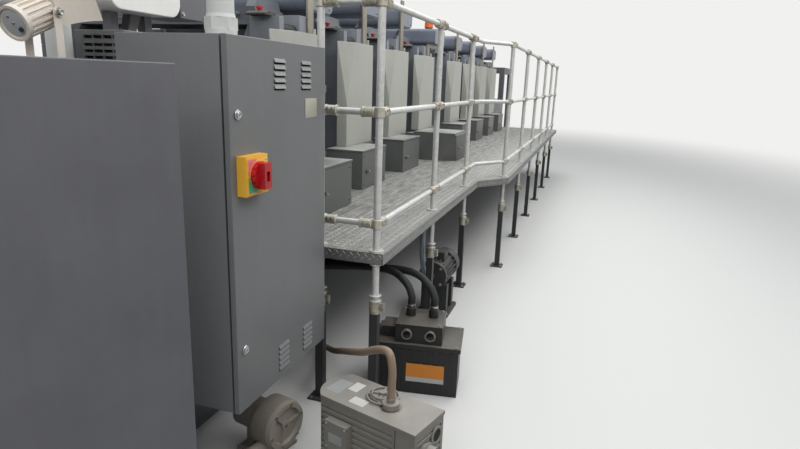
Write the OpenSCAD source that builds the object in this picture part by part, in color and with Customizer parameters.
// Offset printing press with a drive-side walkway, electrical cabinet and vacuum pumps.
// +X runs along the press from the delivery to the feeder, -Y is the drive side, and the
// floor is Z = 0. All sizes are millimetres.

/* [Press] */
// Distance from one printing unit to the next
unit_pitch = 930; // [860:10:1100]
// Width over the side covers of a unit
press_w = 1840; // [1600:10:2200]
// Length of one unit's side cover along the press
cover_l = 600; // [540:10:660]
// Extra length between the two banks of units
gap_l = 450; // [0:10:900]
// Height of the side covers' top above the floor
cover_top = 1910; // [1850:10:2100]
// Diameter of the plate and blanket cylinders
cyl_d = 270; // [240:2:280]

/* [Walkway] */
// Height of the walkway above the floor
deck_z = 800; // [700:10:860]
// Height of the guard rail above the walkway
rail_h = 1100; // [1000:10:1200]
// Outside diameter of the guard rail's posts
post_d = 34; // [27:1:49]

/* [Delivery and feeder] */
// Length of the delivery, from its end to the first unit's cover
delivery_l = 2805; // [2600:5:3200]
// Width over the delivery's side plates
delivery_w = 2400; // [2300:10:2600]
// Height of the delivery's roof
delivery_top = 1530; // [1400:10:1700]
// Angle at which the delivery's guard door stands open
door_open = 23.4; // [0:0.1:80]
// Length of the feeder
feeder_l = 2310; // [2200:10:2800]

/* [Cabinet] */
// Width of the electrical cabinet along the press
cab_w = 650; // [600:10:900]
// Height of the cabinet
cab_h = 1220; // [1000:10:1300]
// Depth of the cabinet with its door
cab_d = 400; // [300:10:460]

/* [Hidden] */
$fn = 48;
seat = 0.3;                      // play between a piece and what carries it

units = 8;
half_w = press_w / 2;
cover_t = 200;                   // thickness of a unit's side cover
frame_y = half_w - cover_t;      // outer face of the cast side frames
frame_t = 70;
first_x = -3695;                 // near end of the first unit's cover
function unit_x(i) = first_x + i * unit_pitch + (i >= units / 2 ? gap_l : 0);
bed_x0 = first_x - 165;
bed_x1 = unit_x(units - 1) + unit_pitch - 165;
press_x0 = first_x - delivery_l;
press_x1 = bed_x1 + 5 + feeder_l;

bed_z = 120;                     // underside of the bed, on its levelling feet
bed_top = deck_z + 200;
imp_d = 460;                     // impression cylinder
drum_d = 440;                    // transfer drum
imp_x = cover_l / 2;
imp_z = bed_top - 210;
blk_z = imp_z + (imp_d + cyl_d) / 2 + 2;
plate_x = imp_x + 40;
plate_z = blk_z + cyl_d + 2;
journal_d = 110;
roller_l = 2 * (frame_y - frame_t);

housing_z = deck_z + 280 + seat; // underside of the light drive housings
housing_lead = 120;              // how far a housing stands out before its cover
housing_w = 510;
housing_d = 80;
housing_top = cover_top - 80;

hood_l = 400;
hood_h = 180;
hood_x = 370;                    // start of a hood behind the cover's near end
hood_z = cover_top + 75;
hood_y = half_w - 25;
raised = [1, 2];                 // units whose hoods stand raised
big_hood = 3;                    // unit with the wide hood that carries the beacon
wide_y = half_w + 85;            // half the width of that hood
wide_z = [hood_z - 17, hood_z + 142];
function hood_lift(i) = i == raised[0] || i == raised[1] ? 80 : 0;

deck_t = 52;
deck_in = half_w + seat;
deck_out = 1880;                 // outer edge of the walkway beside the delivery
deck_wide = 2085;                // and past the step
deck_x0 = -4475;
deck_x1 = bed_x1 + 170;
step_x = [-2230, -1930];
post_y = 1835;
post_wide = 2035;
near_posts = [-4445, -3465, -2535];
far_posts = [for (k = [0 : 5]) -1890 + k * 1100];
bend_x = -2190;
inner_post_y = 1554;
rail_d = post_d - 4;
rail_z = [130, 630, rail_h - rail_d / 2];
leg_z = 500;                     // top of the square leg, where the tube begins

dlv_y = delivery_w / 2;
dlv_bay = 1100;                  // length of the pile bay
dlv_x1 = press_x0 + dlv_bay;
dlv_neck_x = dlv_x1 + 700;       // where the delivery narrows beside the walkway
dlv_side_top = delivery_top - 30;
roof_t = 40;
hinge_pin = [press_x0, -dlv_y - 43];
hinge_d = 16;
hinge_z = [500, 1300];
door_l = 1050;
door_z = [250, delivery_top + 60];

cab = [dlv_x1 + 45, -1700, 460]; // lowest near corner of the cabinet, at its door
wall = 3;
cab_hinge = [cab.x + cab_w + 8, cab.y + 12];
knuckle_z = [cab.z + 120, cab.z + cab_h - 200];
iso = [cab.x + 91.5, cab.z + 802.5]; // the isolator's shaft in X and Z
lock_z = [cab.z + 220, cab.z + cab_h - 230];

// Box between two opposite corners
module block(a, b) translate(a) cube(b - a);

// Round bar along an axis, from its start point
module bar_x(p, l, d) translate(p) rotate([0, 90, 0]) cylinder(h = l, d = d);
module bar_y(p, l, d) translate(p) rotate([-90, 0, 0]) cylinder(h = l, d = d);
module bar_z(p, l, d) translate(p) cylinder(h = l, d = d);

// Round bar between two points
module bar_to(p, q, d) {
  v = q - p;
  translate(p) rotate([0, acos(v.z / norm(v)), atan2(v.y, v.x)]) cylinder(h = norm(v), d = d);
}

// The same piece on the drive side and the operator side
module both_sides() {
  children();
  mirror([0, 1, 0]) children();
}

// One copy for each printing unit, at the near end of its cover
module each_unit() for (i = [0 : units - 1]) translate([unit_x(i), 0, 0]) {
  $unit = i;
  children();
}

// Plate with a profile drawn in X and Z, t thick from y = y0 towards +Y
module plate_xz(y0, t) translate([0, y0 + t, 0]) rotate([90, 0, 0]) linear_extrude(t) children();

// Rectangle with rounded corners, centred
module round_rect(w, h, r) {
  square([w - 2 * r, h], center = true);
  square([w, h - 2 * r], center = true);
  for (x = [-1, 1], y = [-1, 1]) translate([x * (w / 2 - r), y * (h / 2 - r)]) circle(r);
}

// Everything beyond the plane through p that faces along n, to be taken away
module beyond(p, n, s = 4000)
  translate(p) rotate([0, -asin(n.z / norm(n)), atan2(n.y, n.x)])
    translate([0, -s / 2, -s / 2]) cube(s);

// Smooth route through hand-set points
function on_curve(p, i, t) =
  let (a = p[max(i - 1, 0)], b = p[i], c = p[i + 1], d = p[min(i + 2, len(p) - 1)])
  0.5 * (2 * b + (c - a) * t + (2 * a - 5 * b + 4 * c - d) * t * t
    + (3 * b - a - 3 * c + d) * t * t * t);
function route(p, k = 4) = [
  for (i = [0 : len(p) - 2], j = [0 : k - 1]) on_curve(p, i, j / k), p[len(p) - 1]];
function along(v) = v / norm(v);

// Round hose on a route, as one closed tube
module hose(points, d, sides = 12) {
  p = route(points);
  n = len(p);
  up = [0.31, 0.17, 0.93];
  rings = [for (i = [0 : n - 1])
    let (t = along(p[min(i + 1, n - 1)] - p[max(i - 1, 0)]),
      u = along(cross(t, abs(t * up) > 0.98 ? [1, 0, 0] : up)), w = cross(t, u))
    for (k = [0 : sides - 1])
      p[i] + d / 2 * (cos(360 * k / sides) * u + sin(360 * k / sides) * w)];
  faces = concat(
    [[for (k = [0 : sides - 1]) k]],
    [for (i = [0 : n - 2], k = [0 : sides - 1])
      [i * sides + k, (i + 1) * sides + k, (i + 1) * sides + (k + 1) % sides,
        i * sides + (k + 1) % sides]],
    [[for (k = [sides - 1 : -1 : 0]) (n - 1) * sides + k]]);
  polyhedron(points = rings, faces = faces, convexity = 6);
}

// BED AND UNITS

// The bed: two long side plates, bored for the impression cylinders, on cross beams
function beam_x(i) = i < units ? unit_x(i) - 165 : bed_x1 - 80;
module cross_beam(x) block([x, -frame_y + frame_t + seat, bed_z],
  [x + 80, frame_y - frame_t - seat, bed_z + 160]);
module bed_frame() color("#4a4d50") {
  both_sides() difference() {
    block([bed_x0, -frame_y, bed_z], [bed_x1, -frame_y + frame_t, bed_top]);
    for (i = [0 : units - 1]) {
      bar_y([unit_x(i) + imp_x, -frame_y - 1, imp_z], frame_t + 2, journal_d + 10);
      // window between two impression cylinders
      translate([unit_x(i) - 80, 0, bed_z + 260]) plate_xz(-frame_y - 1, frame_t + 2)
        round_rect(220, 200, 40);
    }
  }
  for (i = [0 : units]) cross_beam(beam_x(i));
  cross_beam(-40);
}

module levelling_foot() {
  cylinder(h = 25, d = 110);
  translate([0, 0, 25 + seat]) cylinder(h = 35, d = 46, $fn = 6);
  translate([0, 0, 60 + 2 * seat]) cylinder(h = bed_z - 60 - 3 * seat, d = 30);
}
module levelling_feet() color("#2c2e30") {
  for (i = [0 : units], s = [-1, 1])
    translate([beam_x(i) + 40, s * (frame_y - frame_t / 2), 0]) levelling_foot();
  levelling_foot();
}

// Cast side frames of a unit, bored for the cylinders' journals, with a tie beam between
module tower_frames() color("#4a4d50") each_unit() {
  both_sides() difference() {
    plate_xz(-frame_y, frame_t)
      polygon([[20, bed_top + seat], [cover_l - 20, bed_top + seat],
        [cover_l - 20, cover_top - 270], [cover_l - 160, cover_top - 40],
        [90, cover_top - 40], [20, cover_top - 150]]);
    bar_y([imp_x, -frame_y - 1, blk_z], frame_t + 2, journal_d);
    bar_y([plate_x, -frame_y - 1, plate_z], frame_t + 2, journal_d);
  }
  block([cover_l - 180, -frame_y + frame_t + seat, cover_top - 180],
    [cover_l - 120, frame_y - frame_t - seat, cover_top - 120]);
}

// A cylinder with bearer rings and journals that run in the frames
module cylinder_on_journals(x, z, d, journal) {
  bar_y([x, -roller_l / 2 + 30, z], roller_l - 60, d - 4);
  for (y = [-roller_l / 2 + 4, roller_l / 2 - 28]) bar_y([x, y, z], 24, d);
  bar_y([x, -frame_y + 2, z], 2 * frame_y - 4, journal - 2 * seat);
}

module printing_cylinders() color("#b9bcc0") each_unit() {
  cylinder_on_journals(imp_x, imp_z, imp_d, journal_d + 10);
  cylinder_on_journals(imp_x, blk_z, cyl_d, journal_d);
  // the gap in the plate cylinder where the plate is clamped
  difference() {
    cylinder_on_journals(plate_x, plate_z, cyl_d, journal_d);
    translate([plate_x, 0, plate_z]) rotate([0, 20, 0])
      block([cyl_d / 2 - 22, -roller_l / 2 + 40, -18], [cyl_d / 2 + 5, roller_l / 2 - 40, 18]);
  }
}

// Skeleton drums that pass the sheet from unit to unit: discs along a shaft
drum_y = [for (k = [0 : 4]) -560 + k * 270];
module transfer_drums() color("#9fa3a8")
  for (i = [1 : units - 1]) {
    x = (unit_x(i - 1) + unit_x(i)) / 2 + imp_x;
    for (y = drum_y) bar_y([x, y, imp_z - 60], 40, drum_d);
    for (k = [-1 : 4]) {
      a = k < 0 ? -roller_l / 2 : drum_y[k] + 40;
      b = k < 4 ? drum_y[k + 1] : roller_l / 2;
      bar_y([x, a + seat, imp_z - 60], b - a - 2 * seat, 160);
    }
  }

// Form rollers around the plate cylinder with the ink train in rows above them:
// distance from the plate cylinder's axis, roller diameter, angles
ink_rows = [[cyl_d / 2 + 32, 60, [50, 85, 120, 155]], [cyl_d / 2 + 100, 80, [67, 102, 137]],
  [cyl_d / 2 + 175, 70, [85, 120]]];
module inking_rollers() color("#26282b") each_unit()
  for (row = ink_rows, a = row[2])
    translate([plate_x + row[0] * cos(a), 0, plate_z + row[0] * sin(a)]) {
      bar_y([0, -roller_l / 2 + 40, 0], roller_l - 80, row[1]);
      bar_y([0, -roller_l / 2 + seat, 0], roller_l - 2 * seat, 24);
    }

// Ink fountain: floor, walls and ends of a trough, with a row of ink keys along its front
module ink_fountains() color("#6f757b") each_unit() {
  z = cover_top - 40 + seat;
  inner = frame_y - 60;
  plate_xz(-inner, 2 * inner) polygon([[95, z], [430, z], [425, z + 18], [88, z + 28]]);
  plate_xz(-inner, 2 * inner) polygon([[87, z + 29], [116, z + 29], [84, z + 101], [60, z + 102]]);
  plate_xz(-inner, 2 * inner)
    polygon([[250, z + 25], [424, z + 20], [400, z + 96], [330, z + 97]]);
  both_sides() plate_xz(-frame_y, 60 - seat)
    polygon([[95, z], [430, z], [400, z + 96], [362, z + 104], [345, z + 150], [92, z + 158],
      [60, z + 102]]);
  for (k = [0 : 15]) bar_x([38, -600 + k * 80, z + 60], 36, 22);
}

// Outline of a side cover from the side: a recess near the top, then a sloping shoulder
recess = [54, 246];
module cover_outline() polygon([[0, deck_z - 30], [cover_l, deck_z - 30],
  [cover_l, cover_top - 245], [362, cover_top + 30], [recess[1], cover_top + 30],
  [recess[1], cover_top - 110], [recess[0], cover_top - 110], [recess[0], cover_top],
  [0, cover_top]]);

seam_z = cover_top - 186;
module side_cover() {
  difference() {
    plate_xz(-half_w, cover_t) cover_outline();
    difference() {
      block([-1, -half_w - 1, seam_z - 2], [cover_l + 1, -frame_y + 1, seam_z + 2]);
      block([3, -half_w + 3, seam_z - 3], [cover_l - 3, -frame_y + 2, seam_z + 3]);
    }
  }
  // pull latches on the end face
  for (z = [-445, -415]) block([-9, -half_w + 110, cover_top + z], [1, -half_w + 150,
    cover_top + z + 14]);
}
module drive_side_covers() color("#5c5d61") each_unit() side_cover();
module operator_side_covers() color("#5c5d61") each_unit() mirror([0, 1, 0]) side_cover();

// Tall light housings on the drive side, with the near upper corner cut on a slant
module drive_housings() color("#b9b8ae") each_unit() translate([0, -half_w - seat, 0]) {
  difference() {
    block([-housing_lead, -housing_d, housing_z], [housing_w - housing_lead, 0, housing_top]);
    beyond([-housing_lead, -housing_d, housing_top - 430], [-34400, -60200, 11200]);
    // hollow lead edge, so the housing wraps the cover's corner
    block([-housing_lead + 6, -housing_d + 6, housing_z - 1], [-2, 1, housing_top - 460]);
  }
  // knob on top
  bar_z([housing_w - housing_lead - 22, -housing_d / 2, housing_top], 38, 22);
}

// Gear boxes on the walkway in front of the housings; the fourth is larger
box_w = 480;
box_h = 280;
box_lead = 290;
function box_front(i) = i == 0 ? half_w + 390 : i == big_hood ? half_w + 520 : half_w + 280;
module gear_boxes() color("#4e5152") each_unit() translate([-box_lead, 0, deck_z + seat]) {
  y = -box_front($unit);
  if ($unit == big_hood) {
    difference() {
      block([0, y, 0], [box_w, -deck_in, box_h - 20]);
      beyond([90, y, 0], [-1, -0.62, -0.25]);
    }
    block([0, y + 8, box_h - 20], [box_w + 20, -half_w - housing_d - 2, box_h]);
  } else {
    block([0, y, 0], [box_w, -deck_in, box_h - 14]);
    block([-4, y - 5, box_h - 14], [box_w + 4, -deck_in, box_h - seat]);
  }
}

module box_latches() color("#b5b7b9") each_unit() {
  y = -box_front($unit) - seat;
  translate([-box_lead + ($unit == big_hood ? 160 : 85), y, deck_z + 125]) {
    bar_y([0, -12, 0], 12, 30);
    translate([0, 0, 3]) rotate([0, 20, 0]) block([-28, -26, -7], [14, -12, 7]);
  }
}

// Black roller across the recess of each drive-side cover
module recess_rollers() color("#1d1e20") each_unit()
  bar_x([recess[0] + seat, -half_w + 50, cover_top - 62], recess[1] - recess[0] - 2 * seat, 64);

module estop_panels() color("#3b3e42") each_unit() plate_xz(-half_w + 50, 135)
  polygon([[-70, cover_top + seat], [50, cover_top + seat], [50, cover_top + 12],
    [34, cover_top + 20], [-2, cover_top + 20], [-20, cover_top + 26], [-70, cover_top + 10]]);

module estop_buttons() color("#c3202a") each_unit()
  translate([16, -half_w + 140, cover_top + 20 + seat]) {
    cylinder(h = 20, d = 22);
    translate([0, 0, 20]) cylinder(h = 14, d = 40);
  }

// Hoods over the inking rollers: a round-cornered cover with a plate on each end
module unit_hoods() color("#6a7078") each_unit() {
  if ($unit == big_hood) plate_xz(-wide_y, 2 * wide_y)
    translate([hood_x + hood_l / 2, (wide_z[0] + wide_z[1]) / 2])
      round_rect(hood_l, wide_z[1] - wide_z[0], 36);
  else translate([0, 0, hood_z + hood_lift($unit)]) {
    plate_xz(-hood_y, 2 * hood_y)
      translate([hood_x + hood_l / 2, hood_h / 2]) round_rect(hood_l, hood_h, 62);
    both_sides() plate_xz(-hood_y - 12, 12)
      translate([hood_x + hood_l / 2, hood_h / 2]) round_rect(hood_l - 20, hood_h - 20, 54);
  }
}

// Flat arms that carry the hoods, each with a pin, or with a rail under the wide hood
arm_x = 335;
arm_z = housing_top + 5;
module hood_arms() color("#8b8d8f") each_unit() both_sides() {
  top = hood_z + hood_h / 2 + hood_lift($unit);
  y = -half_w - 12 - seat;
  if ($unit == big_hood) {
    block([arm_x, y, arm_z], [arm_x + 80, y + 12, wide_z[0] - seat]);
    block([arm_x, y, wide_z[0] - 36], [hood_x + hood_l - 70, y + 12, wide_z[0] - seat]);
  } else {
    block([arm_x, y, arm_z], [arm_x + 80, y + 12, top + 130]);
    bar_y([arm_x + 64, y + 12 + seat, top], half_w - hood_y - 12 - seat, 24);
  }
}

// Gas struts that hold up the raised hoods: a tube, a rod and two ball ends
module gas_struts() color("#1f2022") for (i = raised) translate([unit_x(i), 0, 0])
  both_sides() {
    low = [300, -half_w + 34, cover_top + 30 + seat + 11];
    high = [hood_x + 75, -half_w + 34, hood_z + hood_lift(i) - seat - 11];
    bar_to(low, low + 0.6 * (high - low), 24);
    bar_to(low + 0.6 * (high - low), high, 12);
    for (p = [low, high]) translate(p) sphere(d = 22);
  }

module footboards() color("#77797a")
  for (i = [1 : units - 1])
    block([unit_x(i - 1) + cover_l + seat, -half_w + seat, bed_top + seat],
      [unit_x(i) - seat, half_w - seat, bed_top + 30]);

module beacon() {
  p = [unit_x(big_hood) + hood_x + 90, -half_w + 20, wide_z[1] + seat];
  color("#2b2d2f") bar_z(p, 14, 80);
  color("#f06a1e") translate(p + [0, 0, 13]) {
    cylinder(h = 74, d1 = 96, d2 = 88);
    translate([0, 0, 74]) cylinder(h = 16, d1 = 88, d2 = 60);
  }
}

// DELIVERY

// Posts, sills and roof around the pile, with the guard door's hinge brackets
module hinge_bracket(z) difference() {
  union() {
    block([hinge_pin.x - 14, hinge_pin.y, z + seat], [hinge_pin.x + 14, -dlv_y - seat, z + 30 - seat]);
    bar_z([hinge_pin.x, hinge_pin.y, z + seat], 30 - 2 * seat, 28);
  }
  bar_z([hinge_pin.x, hinge_pin.y, z], 30, hinge_d + 0.1);
}
module delivery_frame() color("#5c5d61") {
  post = 60;
  z = delivery_top - roof_t;
  for (x = [press_x0, dlv_x1 - post]) both_sides()
    block([x, -dlv_y, 0], [x + post, -dlv_y + post, z - seat]);
  difference() {
    block([press_x0, -dlv_y, z], [dlv_x1, dlv_y, delivery_top]);
    // rounded front edge of the roof
    translate([0, 0, delivery_top]) difference() {
      block([press_x0 - 1, -dlv_y - 1, -30], [press_x0 + 30, dlv_y + 1, 1]);
      bar_y([press_x0 + 30, -dlv_y - 2, -30], 2 * dlv_y + 4, 60);
    }
  }
  both_sides() block([press_x0 + post + seat, -dlv_y, 0], [dlv_x1 - post - seat, -dlv_y + post, 120]);
  block([dlv_x1 - post, -dlv_y + post + seat, 0], [dlv_x1, dlv_y - post - seat, 120]);
  for (z = hinge_z) hinge_bracket(z);
}

// Closed rear of the delivery: wide beside the pile, narrow where the walkway passes it
module delivery_housing() color("#55585c") {
  z = dlv_side_top;
  difference() {
    block([dlv_x1 + seat, -dlv_y, 0], [dlv_neck_x, dlv_y, z]);
    both_sides() {
      block([dlv_x1 + 350, -dlv_y - 1, 100], [dlv_x1 + 354, -dlv_y + 4, z - 50]);
      block([dlv_x1 - 1, -dlv_y - 1, -1], [dlv_neck_x + 1, -dlv_y + 40, 80]);
    }
  }
  // chain way rising to the first unit
  plate_xz(-half_w, press_w) polygon([[dlv_neck_x - 1, 0], [bed_x0 - 240, 0],
    [bed_x0 - 240, 700], [bed_x0 - seat, 760], [bed_x0 - seat, z + 100], [-4300, z],
    [dlv_neck_x - 1, z]]);
}

// Pile board on two bars hung from four hoist chains
module pile_board(x0, x1, y, z, top) {
  w = (2 * y - 50) / 6;
  color("#b08a58") for (k = [0 : 5])
    block([x0, -y + k * (w + 10), z + seat], [x1, -y + k * (w + 10) + w, z + 30]);
  color("#4a4d50") for (x = [x0 + 60, x1 - 100]) {
    block([x, -y - 60, z - 40], [x + 40, y + 60, z]);
    for (s = [-1, 1])
      block([x + 12, s * (y + 40) - 8, z + seat], [x + 28, s * (y + 40) + 8, top]);
  }
}
pile_y = 400;
pile_z = 300;
module delivery_pile_board()
  pile_board(press_x0 + 100, dlv_x1 - 260, pile_y, pile_z, delivery_top - roof_t - seat);

// Gripper chains: guides with a sprocket on each side, a shaft and gripper bars across
chain_y = 540;
module gripper_chains() color("#8b8d8f") {
  x0 = press_x0 + 260;
  z = delivery_top - 190;
  r = 107;
  both_sides() {
    bar_y([x0, -chain_y - 15, z], 30, 2 * r);
    for (dz = [-r, r - 24]) block([x0 + sqrt(r * r - pow(r - 24, 2)) + 2, -chain_y - 15, z + dz],
      [dlv_x1 - seat, -chain_y + 15, z + dz + 24]);
    // hanger to the roof
    block([x0 + 240, -chain_y - 10, z + r + seat], [x0 + 280, -chain_y + 10,
      delivery_top - roof_t - seat]);
  }
  bar_y([x0, -chain_y + 15 + seat, z], 2 * chain_y - 30 - 2 * seat, 50);
  for (x = [x0 + 200, x0 + 400]) {
    block([x, -chain_y + 15 + seat, z - r], [x + 45, chain_y - 15 - seat, z - r + 24]);
    for (k = [0 : 8]) block([x - 18, -chain_y + 60 + k * 115, z - r + 2],
      [x - seat, -chain_y + 90 + k * 115, z - r + 16]);
  }
}

// Guard door on its upright hinge, drawn as it stands; its edges are folded back
module delivery_door() color("#5c5d61")
  translate([hinge_pin.x, hinge_pin.y, 0]) rotate([0, 0, -door_open]) {
    difference() {
      block([28, -12, door_z[0]], [door_l, 12, door_z[1]]);
      block([50, -10, door_z[0] + 22], [door_l - 22, 13, door_z[1] - 22]);
    }
    block([door_l / 2 - 20, -11, door_z[0] + 21], [door_l / 2 + 20, 10, door_z[1] - 21]);
    for (z = hinge_z) {
      for (dz = [-80, 30]) {
        bar_z([0, 0, z + dz], 80, 28);
        block([0, -12, z + dz], [51, 12, z + dz + 80]);
      }
      bar_z([0, 0, z - 80], 190, hinge_d);
    }
  }

// Ventilated cover on the rear of the delivery, with slots in its near face
module vent_cover() color("#3f4246") {
  x0 = dlv_x1 + 200;
  difference() {
    block([x0, -dlv_y + 8, dlv_side_top + seat], [x0 + 420, -dlv_y + 220, dlv_side_top + 200]);
    for (row = [0 : 7], k = [0 : 3])
      block([x0 - 1, -dlv_y + 18 + k * 42, dlv_side_top + 20 + row * 21 + (row == 7 ? 4 : 0)],
        [x0 + 12, -dlv_y + 56 + k * 42, dlv_side_top + 30 + row * 21 + (row == 7 ? 6 : 0)]);
  }
}

// Large white hood across the rear of the delivery, with a bolted box on its end
white_x = [dlv_x1 + 350, dlv_x1 + 740];
white_z = [dlv_side_top + 290, dlv_side_top + 750];
module dryer_hood() color("#e4e2dc") plate_xz(-half_w - 80, press_w + 160)
  translate([(white_x[0] + white_x[1]) / 2, (white_z[0] + white_z[1]) / 2])
    round_rect(white_x[1] - white_x[0], white_z[1] - white_z[0], 60);

module hood_brackets() color("#5c5f66") {
  x = white_x[0] + 100;
  both_sides() plate_xz(-half_w + 20, 40) {
    translate([x, dlv_side_top + seat]) square([40, white_z[0] - dlv_side_top - 2 * seat]);
    translate([x + 185, dlv_side_top + seat]) square([40, white_z[0] - dlv_side_top - 2 * seat]);
    polygon([[x + 39, dlv_side_top + 20], [x + 39, dlv_side_top + 75], [x + 110, white_z[0] - seat],
      [x + 165, white_z[0] - seat]]);
  }
  // bolted control box on the hood's end
  block([white_x[1] + seat, -half_w - 78, white_z[0] + 5], [white_x[1] + 180, -half_w + 130,
    white_z[1] - 60]);
}

// Horn loudspeaker on a yoke: ribbed driver with a dial in its round back, and a
// rectangular bell that flares in both directions
horn = [-5465, -1145, 1726];
horn_r = 50;
function flare(a, b, n = 6) = [for (k = [0 : n])
  [horn_bell[0] + (horn_bell[1] - horn_bell[0]) * k / n, a + (b - a) * pow(k / n, 1.6)]];
horn_bell = [12, 140];
module flared(w, h, cut = 0) intersection() {
  rotate([90, 0, 0]) linear_extrude(400, center = true) rotate(90) polygon(concat(
    [for (p = flare(46, h)) [p.x, p.y - cut]],
    [for (p = [for (k = [6 : -1 : 0]) flare(46, h)[k]]) [p.x, -p.y + cut]]));
  rotate([90, 0, 90]) linear_extrude(400, center = true) rotate(90) polygon(concat(
    [for (p = flare(46, w)) [p.x, p.y - cut]],
    [for (p = [for (k = [6 : -1 : 0]) flare(46, w)[k]]) [p.x, -p.y + cut]]));
}
module warning_horn() {
  color("#cfc9bb") translate(horn) rotate([0, 67, 4.6]) {
    difference() {
      translate([0, 0, -110]) cylinder(h = 16, r = horn_r);
      translate([0, 0, -111]) cylinder(h = 5, r = horn_r - 8);
    }
    translate([0, 0, -107]) cylinder(h = 5, r = horn_r - 14);
    translate([0, 0, -95]) cylinder(h = 112, r = horn_r - 8);
    for (a = [0 : 20 : 340]) rotate([0, 0, a])
      block([horn_r - 9, -3, -95], [horn_r, 3, 4]);
    difference() {
      flared(80, 68);
      translate([0, 0, 0.5]) intersection() {
        flared(80, 68, 4);
        block([-100, -100, 30], [100, 100, 200]);
      }
    }
  }
  color("#9a958a") translate(horn) rotate([0, 0, 4.6]) {
    for (s = [-1, 1]) {
      block([-14, s * 56 - 1.5, -180], [14, s * 56 + 1.5, 14]);
      bar_y([0, s * 60 - 3, 0], 6, 22);
    }
    bar_y([0, -58, 0], 116, 12);
    block([-14, -57.5, -184], [14, 57.5, -179]);
    bar_z([0, 0, delivery_top - horn.z + seat], horn.z - delivery_top - 183 - seat, 60);
  }
}

// FEEDER

feed_x = bed_x1 + 5;
head_x = feed_x + 1100;
feed_h = cover_top - 10;
// Side frames of the table and of the portal over the pile, tied across
module feeder_frame() color("#5c5d61") {
  t = 100;
  b = 90;
  both_sides() translate([0, 0, 0]) {
    for (x = [feed_x, head_x, press_x1 - b])
      block([x, -half_w, 120 + seat], [x + b, -half_w + t, x < head_x ? 1020 : feed_h - 120 - seat]);
    block([feed_x, -half_w, 0], [press_x1, -half_w + t, 120]);
    plate_xz(-half_w, t) polygon([[feed_x, 1020 + seat], [head_x - seat, 1020 + seat],
      [head_x - seat, table_z[1]], [feed_x, table_z[0] + 80]]);
    plate_xz(-half_w, t) polygon([[head_x, feed_h - 120], [press_x1, feed_h - 120],
      [press_x1, feed_h - 60], [press_x1 - 60, feed_h], [head_x, feed_h]]);
  }
  for (x = [head_x + 10, press_x1 - 870, press_x1 - 200])
    block([x, -half_w + t + seat, feed_h - 100], [x + 60, half_w - t - seat, feed_h]);
  block([feed_x + 30, -half_w + t + seat, 0], [feed_x + 90, half_w - t - seat, 120]);
}

// Sloping feed table with side lays, and the tapes that carry the sheets
table_y = half_w - 100 - seat;
table_z = [1060, 1240];
table_x = [feed_x + seat, head_x];
function table_at(x) = table_z[0] + (x - table_x[0]) / (table_x[1] - table_x[0])
  * (table_z[1] - table_z[0]);
module table_line(dz, t, cut = 0) polygon([for (p = [[table_x[0] + cut, dz],
  [table_x[1] - cut, dz], [table_x[1] - cut, dz + t], [table_x[0] + cut, dz + t]])
    [p.x, table_at(p.x) + p.y]]);
module feed_table() color("#9a9c9e") {
  plate_xz(-table_y, 2 * table_y) table_line(0, 40);
  both_sides() plate_xz(-470, 30) table_line(40 + seat, 26, 90);
  bar_y([head_x + 34, -table_y, table_z[1] + 18], 2 * table_y, 60);
}
module feed_tapes() color("#2a2b2d") for (k = [0 : 5]) {
  y = -375 + k * 138;
  plate_xz(y, 50) table_line(40 + seat, 5, 30);
}

module feeder_pile_board()
  pile_board(press_x1 - 910, press_x1 - 120, pile_y, pile_z, feed_h - 100 - seat);

// Suction head over the pile: beam hung from the portal, with its suckers
module suction_head() color("#3f4246") {
  x0 = head_x + 130;
  z = feed_h - 340;
  block([x0, -420, z], [x0 + 160, 420, z + 130]);
  for (y = [-300, 260])
    block([x0 + 60, y, z + 130 + seat], [x0 + 110, y + 40, feed_h - 100 - seat]);
  block([x0 - 30, -half_w + 100 + seat, feed_h - 100],
    [x0 + 140, half_w - 100 - seat, feed_h - 60]);
  for (y = [-330, -110, 110, 330]) {
    bar_z([x0 + 40, y, z - 90], 90 - seat, 30);
    bar_z([x0 + 40, y, z - 112], 22 - seat, 46);
    bar_z([x0 + 120, y, z - 60], 60 - seat, 24);
  }
}

// WALKWAY

deck_corners = [[deck_x0, -deck_out], [step_x[0], -deck_out], [step_x[1], -deck_wide],
  [deck_x1, -deck_wide]];

// Tread plates, the lip turned down around their edge, and the channels that bear them
module deck_strip(a, b, t0, t1) polygon([[a.x + seat, a.y + t0], [b.x - seat, b.y + t0],
  [b.x - seat, b.y + t1], [a.x + seat, a.y + t1]]);
module walkway_deck() color("#9a9890") {
  for (k = [0 : 2]) {
    a = deck_corners[k];
    b = deck_corners[k + 1];
    translate([0, 0, deck_z - 6]) linear_extrude(6)
      polygon([[a.x + seat, -deck_in], [a.x + seat, a.y], [b.x - seat, b.y], [b.x - seat, -deck_in]]);
    translate([0, 0, deck_z - deck_t]) linear_extrude(deck_t - 6 - seat) {
      deck_strip(a, b, 0, 5);
      deck_strip([a.x + 6, -deck_in], [b.x - 6, -deck_in], -60, 0);
    }
  }
  for (x = concat(near_posts, far_posts)) {
    out = x < step_x[1] ? deck_out : deck_wide;
    block([x - 25, -out + 6, deck_z - deck_t], [x + 25, -deck_in - 60 - seat, deck_z - 6 - seat]);
  }
  for (x = [deck_x0, deck_x1 - 5], y = x == deck_x0 ? deck_out : deck_wide)
    block([x + seat, -y + 6, deck_z - deck_t], [x + 5, -deck_in - 60 - seat, deck_z - 6 - seat]);
}

function post_at(k) = k < len(near_posts) ? [near_posts[k], -post_y]
  : [far_posts[k - len(near_posts)], -post_wide];
post_n = len(near_posts) + len(far_posts);

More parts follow.
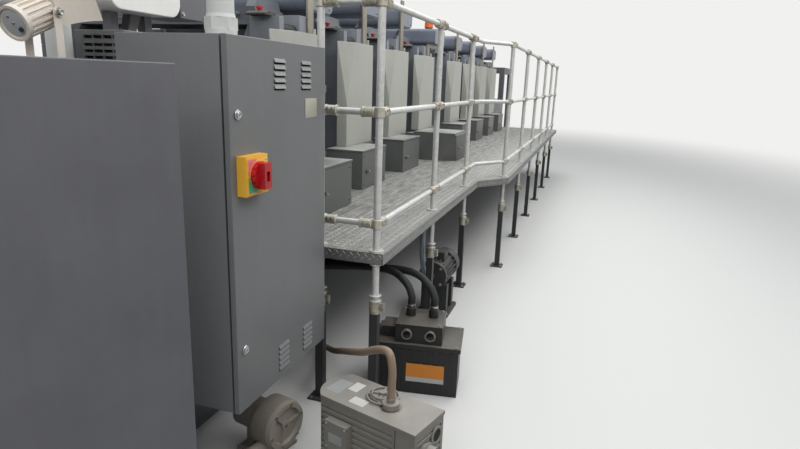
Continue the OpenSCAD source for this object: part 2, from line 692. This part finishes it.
// Square legs with a tube above, under the posts and under the near end's inner post
module walkway_legs() color("#3a3b3d") {
  for (k = [0 : post_n]) {
    p = k < post_n ? post_at(k) : [near_posts[0], -inner_post_y];
    block([p.x - 20, p.y - 20, 8 + seat], [p.x + 20, p.y + 20, leg_z]);
    block([p.x - 50, p.y - 50, 0], [p.x + 50, p.y + 50, 8]);
  }
}

// Guard rail: near end, run beside the first units, and the wider far run
module post_and_foot(p) {
  bar_z([p.x, p.y, leg_z + seat], deck_z - deck_t - leg_z - 2 * seat, post_d);
  bar_z([p.x, p.y, deck_z + seat], rail_h - seat, post_d);
  difference() {
    bar_z([p.x, p.y, deck_z + seat], 8, post_d + 34);
    bar_z([p.x, p.y, deck_z], 10, post_d + 2 * seat);
  }
}
module rail_between(a, b, z) bar_x([a.x + post_d / 2 + seat, a.y, deck_z + z],
  b.x - a.x - post_d - 2 * seat, rail_d);
module guard_rail() color("#c9c9c6") {
  for (k = [0 : post_n - 1]) post_and_foot(post_at(k));
  post_and_foot([near_posts[0], -inner_post_y]);
  for (z = rail_z) {
    bar_y([near_posts[0], -post_y + post_d / 2 + seat, deck_z + z],
      post_y - inner_post_y - post_d - 2 * seat, rail_d);
    for (k = [0, 1, 3, 4, 5, 6, 7]) rail_between(post_at(k), post_at(k + 1), z);
    // the rail leaves its third post, bends and meets the wider run's first post
    a = post_at(2);
    b = post_at(3);
    bend = [bend_x, -post_y, deck_z + z];
    v = [b.x, b.y, bend.z] - bend;
    bar_x([a.x + post_d / 2 + seat, a.y, bend.z], bend_x - a.x - post_d / 2 - seat, rail_d);
    translate(bend) sphere(d = rail_d);
    bar_to(bend, bend + v * (1 - (post_d / 2 + 1) / norm(v)), rail_d);
  }
}

// Bolted sleeves where the rails meet the posts, and clamps on the legs
module sleeve_x(x, y, z) difference() {
  bar_x([x, y, z], 62, rail_d + 14);
  bar_x([x - 1, y, z], 64, rail_d);
}
module rail_clamps() color("#b9b19c") {
  for (k = [0 : post_n - 1], z = rail_z) {
    p = post_at(k);
    if (k != 0 && k != len(near_posts)) sleeve_x(p.x - post_d / 2 - 64, p.y, deck_z + z);
    if (k != post_n - 1) sleeve_x(p.x + post_d / 2 + 2, p.y, deck_z + z);
  }
  for (z = rail_z, y = [-post_y + post_d / 2 + 2, -inner_post_y - post_d / 2 - 64])
    translate([near_posts[0], y, deck_z + z]) rotate([0, 0, 90]) sleeve_x(0, 0, 0);
  for (k = [0 : post_n]) {
    p = k < post_n ? post_at(k) : [near_posts[0], -inner_post_y];
    difference() {
      union() {
        bar_z([p.x, p.y, leg_z + seat], 60, post_d + 22);
        block([p.x - 8, p.y - 46, leg_z + 8], [p.x + 8, p.y, leg_z + 52]);
      }
      bar_z([p.x, p.y, leg_z - 1], 64, post_d);
    }
  }
}

// Plain walkway of the same height on the operator side
op_out = half_w + 780;
module operator_walkway() color("#9a9890") {
  x0 = deck_x0 + 780;
  block([x0, deck_in, deck_z - deck_t], [deck_x1, op_out, deck_z]);
  n = 7;
  for (k = [0 : n]) {
    x = x0 + 40 + k * (deck_x1 - x0 - 80) / n;
    block([x - 20, op_out - 60, 0], [x + 20, op_out - 20, deck_z - deck_t - seat]);
  }
}

// CABINET

module cabinet() color("#6b6d6e") {
  difference() {
    block([cab.x, cab.y + 26, cab.z], [cab.x + cab_w, cab.y + cab_d, cab.z + cab_h]);
    block([cab.x + wall, cab.y, cab.z + wall],
      [cab.x + cab_w - wall, cab.y + cab_d - wall, cab.z + cab_h - wall]);
  }
  // rolled rim around the opening
  difference() {
    block([cab.x + 1, cab.y + 26, cab.z + 1], [cab.x + cab_w - 1, cab.y + 40, cab.z + cab_h - 1]);
    block([cab.x + 22, cab.y + 25, cab.z + 22],
      [cab.x + cab_w - 22, cab.y + 41, cab.z + cab_h - 22]);
  }
  block([cab.x + 45, cab.y + cab_d - 30, cab.z + 45],
    [cab.x + cab_w - 45, cab.y + cab_d - wall + 0.5, cab.z + cab_h - 45]);
  for (z = knuckle_z) {
    bar_z([cab_hinge.x, cab_hinge.y, z], 30, 14);
    bar_z([cab_hinge.x, cab_hinge.y, z], 58, 8);
    block([cab.x + cab_w - 1, cab_hinge.y, z], [cab_hinge.x, cab.y + 60, z + 30]);
  }
}

// One pressed louvre: a hood over a slot
module louvre_slot(x, z) block([x, cab.y - 1, z], [x + 72, cab.y + 3, z + 7]);
module louvre_hood(x, z) translate([x + 72, cab.y, z]) rotate([90, 0, -90]) linear_extrude(72)
  polygon([[0, 19], [-0.5, 19], [-0.5, 8], [5, 5], [6, 6.5]]);
louvre_at = [for (x = [260, 450], z = [cab.z + 30, cab.z + cab_h - 160], k = [0 : 4])
  [cab.x + x, z + k * 21.3]];

module cabinet_door() color("#6b6d6e") {
  difference() {
    block([cab.x, cab.y, cab.z], [cab.x + cab_w - 6, cab.y + 20, cab.z + cab_h]);
    block([cab.x + 18, cab.y + 2, cab.z + 18],
      [cab.x + cab_w - 24, cab.y + 21, cab.z + cab_h - 18]);
    bar_y([iso[0], cab.y - 1, iso[1]], 30, 24);
    for (p = louvre_at) louvre_slot(p.x, p.y);
  }
  for (p = louvre_at) louvre_hood(p.x, p.y);
  // quarter-turn locks and a plain plate
  for (z = lock_z) {
    bar_y([cab.x + 40, cab.y - 5, z], 6, 30);
    bar_y([cab.x + 40, cab.y - 9, z], 5, 20);
  }
  block([cab.x + 478, cab.y - 1, cab.z + cab_h - 260], [cab.x + 570, cab.y + 1,
    cab.z + cab_h - 190]);
  for (z = knuckle_z) difference() {
    union() {
      bar_z([cab_hinge.x, cab_hinge.y, z + 30.3], 30, 14);
      block([cab.x + cab_w - 7, cab.y, z + 30.3], [cab_hinge.x, cab_hinge.y, z + 60.3]);
    }
    bar_z([cab_hinge.x, cab_hinge.y, z + 30], 31, 8.1);
  }
}

// Rotary isolator: yellow escutcheon with a raised bezel, red handle with its grip
iso_t = 33;
module isolator_base() color("#e8b92b") difference() {
  union() {
    block([iso[0] - 63, cab.y - iso_t, iso[1] - 62], [iso[0] + 63, cab.y - seat, iso[1] + 62]);
    block([iso[0] - 58, cab.y - iso_t - 2, iso[1] - 57], [iso[0] + 58, cab.y - iso_t + 1, iso[1] + 57]);
  }
  bar_y([iso[0], cab.y - iso_t - 4, iso[1]], iso_t + 8, 24);
}

module isolator_handle() color("#c3202a") translate([iso[0], cab.y - iso_t - 4, iso[1]]) {
  difference() {
    bar_y([0, -15, 0], 15, 88);
    for (a = [0 : 30 : 330]) rotate([0, a, 0]) bar_y([47, -16, 0], 10, 12);
  }
  difference() {
    block([-20, -36, -41], [20, -14, 41]);
    block([-9, -37, -18], [9, -22, 14]);
  }
  bar_y([0, 0, 0], 40, 23.9);
}

module cabinet_brackets() color("#4a4d50")
  for (z = [cab.z + 140, cab.z + cab_h - 280])
    block([cab.x + 40, cab.y + cab_d + seat, z], [cab.x + cab_w - 40, -dlv_y - seat, z + 50]);

// Gland on the cabinet's roof: ring, hexagon nut and the conduit that leaves it
module cable_gland() {
  p = [cab.x + 85, cab.y + 75, cab.z + cab_h + seat];
  color("#c4c4c0") {
    bar_z(p, 16, 94);
    translate(p + [0, 0, 15]) cylinder(h = 36, d = 98, $fn = 6);
    translate(p + [0, 0, 50]) cylinder(h = 12, d1 = 88, d2 = 82);
  }
  // the conduit bends over and down to the delivery's rear
  color("#8f8f8d") {
    d = 80;
    r = 170;
    top = 300;
    run = 300;
    bar_z(p + [0, 0, 62 + seat], top - 62 - 2 * seat, d);
    translate(p + [0, r, top]) rotate([90, 0, 90]) rotate([0, 0, 90])
      rotate_extrude(angle = 90) translate([r, 0]) circle(d = d);
    bar_y(p + [0, r + seat, top + r], run - 2 * seat, d);
    translate(p + [0, r + run, top]) rotate([90, 0, 90])
      rotate_extrude(angle = 90) translate([r, 0]) circle(d = d);
    q = p + [0, 2 * r + run, top];
    bar_z([q.x, q.y, dlv_side_top + seat], q.z - dlv_side_top - 2 * seat, d);
  }
}

// UNDER THE WALKWAY

// Vane pump in a ribbed casing, turned on the floor: fins along both sides, a bowed fan
// end, a finned end with a regulator knob, terminal box, filter cap and intake neck
pump_p = [-4943, -2036];
pump_turn = -16.5;
pump_neck = [-4967, -2104];
// Plan of the casing: straight sides, square at -Y and bowed at +Y
module pump_outline(half, end, bow) {
  r = (half * half + bow * bow) / 2 / bow;
  translate([-half, -end]) square([2 * half, end + 195]);
  intersection() {
    translate([0, 195 + bow - r]) circle(r);
    translate([-half, 190]) square([2 * half, bow + 10]);
  }
}
module louvred_pump() color("#8f8b83") {
  translate(pump_p) rotate([0, 0, pump_turn]) {
    difference() {
      translate([0, 0, 46]) linear_extrude(300) pump_outline(100, 245, 50);
      for (s = [-1, 1], k = [0 : 9])
        block([s * 100 - 7, -150, 70 + k * 26], [s * 100 + 7, 195, 84 + k * 26]);
      for (k = [0 : 9]) block([-84, -246, 70 + k * 26], [84, -238, 84 + k * 26]);
      block([-104, -162, 40], [104, -158, 348]);
    }
    block([-92, -240, 60], [92, 190, 346]);
    translate([0, 0, 345]) linear_extrude(15) pump_outline(103, 248, 53);
    // terminal box on the near side
    block([-134, 40, 165], [-99, 150, 285]);
    // regulator knob on the finned end
    bar_y([-30, -292, 262], 54, 52);
    // filter cap: two rings on a hub
    translate([32, -8, 359]) {
      cylinder(h = 14, d = 104);
      translate([0, 0, 13]) cylinder(h = 14, d = 30);
      for (r = [[62, 9], [44, 20]]) translate([0, 0, r[1]]) rotate_extrude()
        translate([r[0], 0]) circle(d = 8);
      for (a = [0 : 90 : 270]) rotate([0, 0, a + 20]) {
        block([12, -4, 6], [62, 4, 12]);
        block([12, -4, 11], [44, 4, 20]);
      }
    }
    for (y = [-190, 150], x = [-70, 70]) bar_z([x, y, 0], 47, 40);
  }
  bar_z([pump_neck.x, pump_neck.y, 359], 22, 66);
}

// Black pump: ribbed tub, valve block with two round windows and hose necks
module boxed_pump() color("#2b2c2e")
  translate([-4115, -1966, 0]) rotate([0, 0, 9]) {
    block([-128, -218, 0], [128, 218, 250]);
    block([-138, -228, 249], [138, 228, 272]);
    for (k = [0 : 7]) block([-134, -190 + k * 52, 20], [-127, -176 + k * 52, 235]);
    block([-115, -130, 271], [115, 110, 370]);
    for (y = [-70, 50]) {
      bar_x([-123, y, 322], 9, 60);
      bar_z([20, y, 369], 45, 52);
    }
    block([-60, 111, 271], [60, 190, 330]);
  }

// Side-channel blower: volute, dished face with a hub and three spokes, motor behind it,
// silencer beside it and a foot
module blower() color("#9b968a") translate([-4904, -1547, 140]) rotate([0, 0, 76]) {
  rotate([0, 90, 0]) {
    translate([0, 0, -70]) cylinder(h = 84, d = 214);
    difference() {
      translate([0, 0, -88]) cylinder(h = 19, d1 = 200, d2 = 212);
      translate([0, 0, -89]) cylinder(h = 15, d1 = 160, d2 = 148);
    }
    translate([0, 0, -84]) cylinder(h = 12, d = 40);
    for (a = [20, 140, 260]) rotate([0, 0, a]) block([0, -6, -84], [78, 6, -72]);
    translate([0, 0, 13]) cylinder(h = 150, d = 140);
  }
  bar_y([-30, 60, -76], 150, 62);
  block([-60, -90, -140], [120, 90, -126]);
  block([-50, -70, -127], [-10, 70, -60]);
  block([60, -50, -127], [100, 50, -50]);
}

// Electric motor with cooling fins, fan cowl and terminal box, on its foot
motor_p = [-3250, -1800, 300];
module finned_motor() color("#3c3e40") translate(motor_p) {
  bar_x([0, 0, 0], 40, 190);
  bar_x([39, 0, 0], 240, 168);
  bar_x([278, 0, 0], 90, 206);
  bar_x([-50, 0, 0], 51, 40);
  for (a = [0 : 20 : 340]) rotate([a, 0, 0]) block([45, -3, 78], [272, 3, 100]);
  block([100, -52, 80], [210, 52, 140]);
  for (x = [60, 210]) block([x, -90, -280], [x + 50, 90, -76]);
  block([30, -110, -300], [300, 110, -279]);
}

// Brown ribbed hose that arches off the louvred pump and drops away to the press
pump_route = [[-4967, -2104, 382], [-4967, -2104, 440], [-4967, -2104, 520], [-4955, -2083, 577],
  [-4900, -2015, 550], [-4820, -1936, 489], [-4680, -1828, 405], [-4450, -1671, 274],
  [-4200, -1512, 132], [-4020, -1360, 52], [-3985, -1150, 48], [-3985, -1000, 60],
  [-3985, -half_w - 40, 60], [-3985, -half_w - 2 * seat, 60]];
module pump_hose() color("#7a6f5e") hose(pump_route, 32);

// Two black hoses from the boxed pump to the bed
function neck(y) = [-4115 + 20 * cos(9) - y * sin(9), -1966 + 20 * sin(9) + y * cos(9),
  414 + 2 * seat];
module suction_hoses() color("#232426") for (y = [-70, 50])
  hose([neck(y), neck(y) + [0, 0, 25], neck(y) + [0, 0, 60], neck(y) + [20, 40, 120], neck(y) + [60, 150, 165],
    neck(y) + [90, 400, 150], [-4000 + y, -1250, 545], [-3990 + y, -half_w - 90, 540],
    [-3990 + y, -half_w - 45, 540], [-3990 + y, -half_w - 2 * seat, 540]], 40);

// Blue-grey hose that loops from under the walkway to the motor's pump
air_route = [[-3419, -1770, deck_z - deck_t - 2 * seat], [-3419, -1770, 720],
  [-3419, -1770, 690], [-3425, -1770, 640], [-3440, -1775, 500],
  [-3435, -1790, 380], [-3400, -1800, 316], [-3355, -1800, 300], [-3328, -1800, 300],
  [-3300 - 2 * seat, -1800, 300]];
module air_hose() color("#8b97a3") hose(air_route, 32);

bed_frame();
levelling_feet();
tower_frames();
printing_cylinders();
transfer_drums();
inking_rollers();
ink_fountains();
drive_side_covers();
operator_side_covers();
drive_housings();
gear_boxes();
box_latches();
recess_rollers();
estop_panels();
estop_buttons();
unit_hoods();
hood_arms();
gas_struts();
footboards();
beacon();
delivery_frame();
delivery_housing();
delivery_pile_board();
gripper_chains();
delivery_door();
vent_cover();
dryer_hood();
hood_brackets();
warning_horn();
feeder_frame();
feed_table();
feed_tapes();
feeder_pile_board();
suction_head();
walkway_deck();
walkway_legs();
guard_rail();
rail_clamps();
operator_walkway();
cabinet();
cabinet_door();
isolator_base();
isolator_handle();
cabinet_brackets();
cable_gland();
louvred_pump();
boxed_pump();
blower();
finned_motor();
pump_hose();
suction_hoses();
air_hose();
